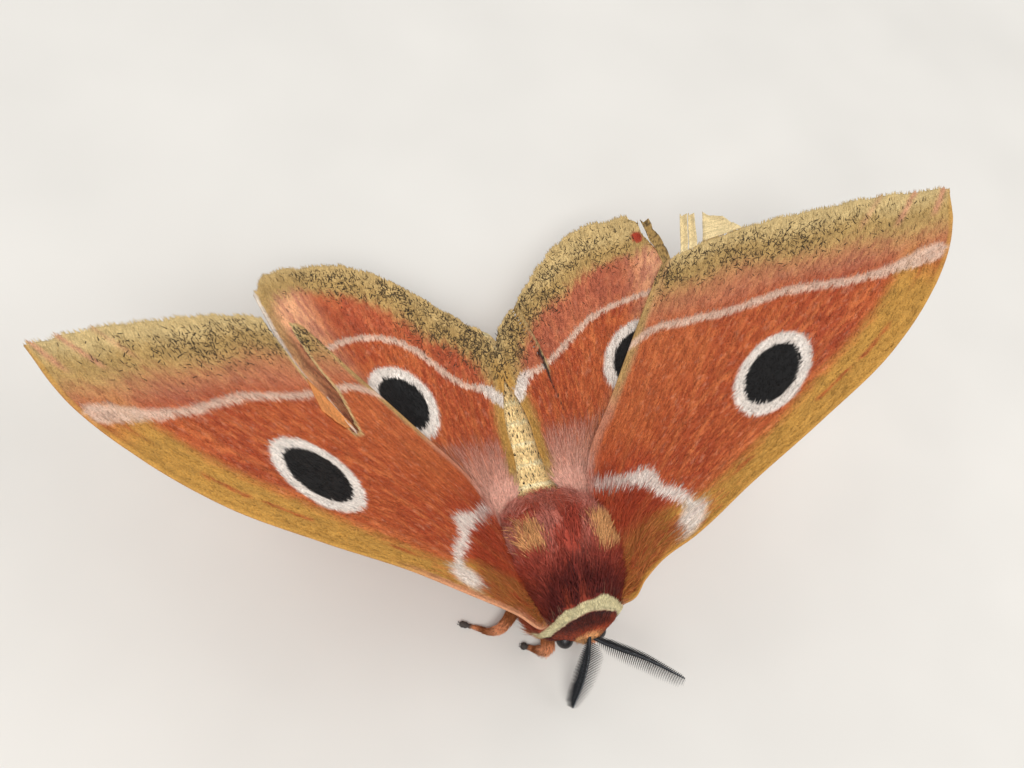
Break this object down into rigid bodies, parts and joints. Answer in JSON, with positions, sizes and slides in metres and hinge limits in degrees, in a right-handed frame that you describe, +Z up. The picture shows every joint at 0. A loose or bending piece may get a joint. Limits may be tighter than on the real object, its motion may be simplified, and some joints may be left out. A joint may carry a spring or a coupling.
{
  "type": "emperor moth",
  "caption": "Life-size model of a large brick-red emperor moth standing with its wings raised in a shallow V; black eye spots ringed in white on every wing.",
  "frame": {"origin": "on the surface it stands on, under the middle of the moth's overall box", "axes": "+X to the moth's left, across the wings; +Y from head to tail; +Z up from the feet"},
  "size_m": [0.0924, 0.0572, 0.0383],
  "materials": {
    "wing_scales": "matt scales, brick red with an ochre margin",
    "thorax_fur": "dense soft fur, maroon to rose",
    "abdomen_fur": "short straw fur",
    "collar_scales": "cream scales",
    "head_scales": "orange-tan scales",
    "leg_scales": "orange-tan scales",
    "antenna": "black, satin",
    "eye": "black, glossy"
  },
  "bodies": {
    "root": {"head": "head_scales", "thorax": "thorax_fur", "abdomen": "abdomen_fur", "collar": "collar_scales", "eye_left": "eye", "antenna_left": "antenna", "forewing_left": "wing_scales", "hindwing_left": "wing_scales", "foreleg_left": "leg_scales", "midleg_left": "leg_scales", "hindleg_left": "leg_scales", "eye_right": "eye", "antenna_right": "antenna", "forewing_right": "wing_scales", "hindwing_right": "wing_scales", "foreleg_right": "leg_scales", "midleg_right": "leg_scales", "hindleg_right": "leg_scales"}
  },
  "joints": []
}
